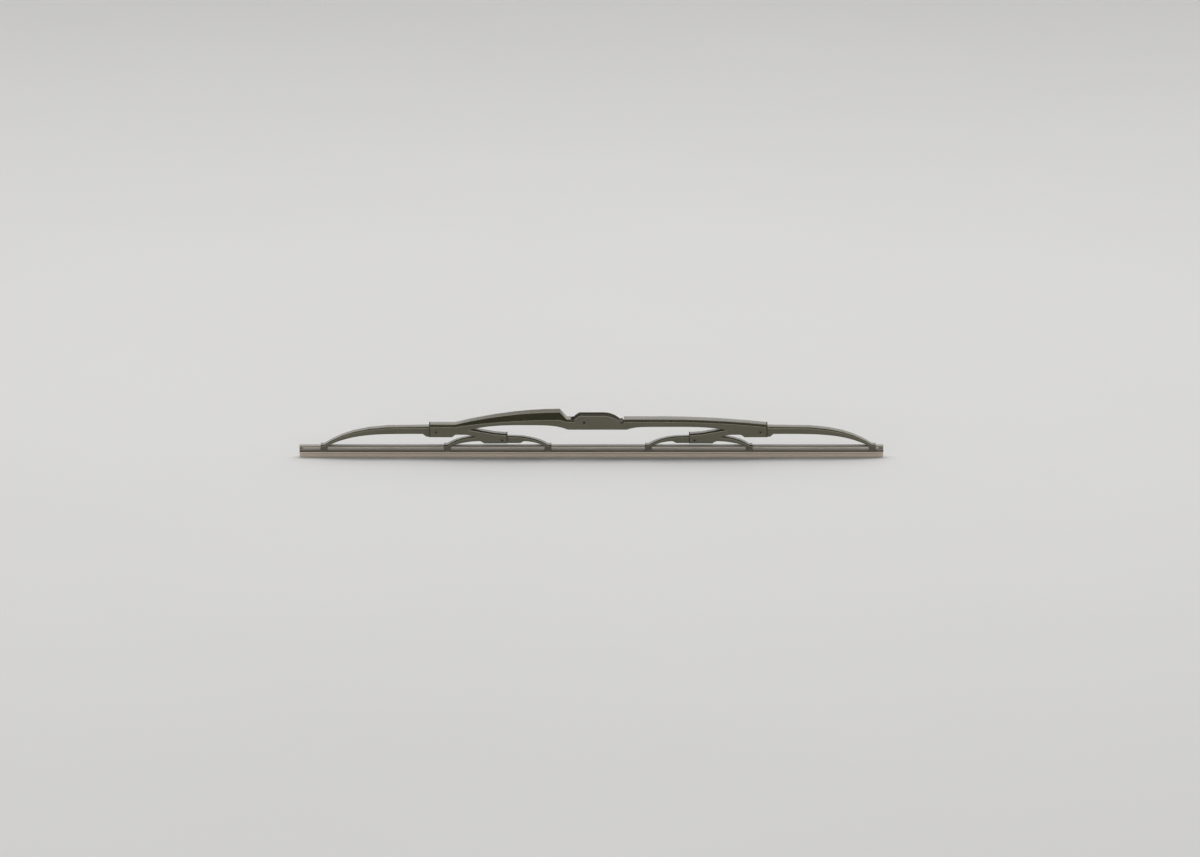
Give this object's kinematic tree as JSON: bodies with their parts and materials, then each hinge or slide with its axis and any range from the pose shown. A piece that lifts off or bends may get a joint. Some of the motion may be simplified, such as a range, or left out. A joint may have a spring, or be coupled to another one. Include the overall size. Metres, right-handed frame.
{
  "type": "windscreen wiper blade",
  "caption": "Framed windscreen wiper blade: pressed levers in a pivoting tree grip a rubber squeegee stiffened by spring strips, and a clip in the middle takes the arm's hook.",
  "frame": {"origin": "middle of the arm pivot: the axis of the adapter's rivet, on the blade's middle plane", "axes": "+X along the blade from the rubber's open end to its closed end, +Y across it away from the wing's leaning face, +Z away from the glass"},
  "size_m": [0.45, 0.0142, 0.0377],
  "materials": {
    "lever_paint": "semi-gloss dark olive grey powder coat",
    "bush_plastic": "moulded",
    "rivet_steel": "dark coated",
    "adapter_plastic": "moulded, fine grain",
    "squeegee_rubber": "matt, graphite dusted",
    "spring_steel": "bright rolled strip"
  },
  "bodies": {
    "primary": {"primary_lever": "lever_paint", "primary_bush_left": "bush_plastic", "primary_bush_right": "bush_plastic", "primary_pin_left": "rivet_steel", "primary_pin_right": "rivet_steel", "adapter_pin": "rivet_steel", "squeegee": "squeegee_rubber", "flexor_front": "spring_steel", "flexor_rear": "spring_steel"},
    "secondary_left": {"secondary_lever_left": "lever_paint", "tertiary_bush_left": "bush_plastic", "tertiary_pin_left": "rivet_steel"},
    "secondary_right": {"secondary_lever_right": "lever_paint", "tertiary_bush_right": "bush_plastic", "tertiary_pin_right": "rivet_steel"},
    "tertiary_left": {"tertiary_lever_left": "lever_paint"},
    "tertiary_right": {"tertiary_lever_right": "lever_paint"},
    "clip": {"adapter": "adapter_plastic"}
  },
  "joints": [
    {"name": "left_secondary_pivot", "type": "hinge", "parent": "primary", "child": "secondary_left", "pos_m": [-0.11395, 0, -0.0079], "axis": [0, 1, 0], "range_deg": [-3, 1.5], "stiffness_Nm_per_rad": 1.2, "deforming": ["squeegee", "flexor_front", "flexor_rear"]},
    {"name": "right_secondary_pivot", "type": "hinge", "parent": "primary", "child": "secondary_right", "pos_m": [0.13575, 0, -0.0079], "axis": [0, 1, 0], "range_deg": [-1.5, 3]},
    {"name": "left_tertiary_pivot", "type": "hinge", "parent": "secondary_left", "child": "tertiary_left", "pos_m": [-0.0632, 0, -0.01485], "axis": [0, 1, 0], "range_deg": [-0.66, 1.31]},
    {"name": "right_tertiary_pivot", "type": "hinge", "parent": "secondary_right", "child": "tertiary_right", "pos_m": [0.085, 0, -0.01485], "axis": [0, 1, 0], "range_deg": [-1.31, 0.66]},
    {"name": "adapter_pivot", "type": "hinge", "parent": "primary", "child": "clip", "pos_m": [0, 0, 0], "axis": [0, 1, 0], "range_deg": [-80, 10]}
  ],
  "couplings": [
    {"joint": "right_secondary_pivot", "follows": "left_secondary_pivot", "ratio": -1},
    {"joint": "left_tertiary_pivot", "follows": "left_secondary_pivot", "ratio": -0.435},
    {"joint": "right_tertiary_pivot", "follows": "left_secondary_pivot", "ratio": 0.435}
  ]
}
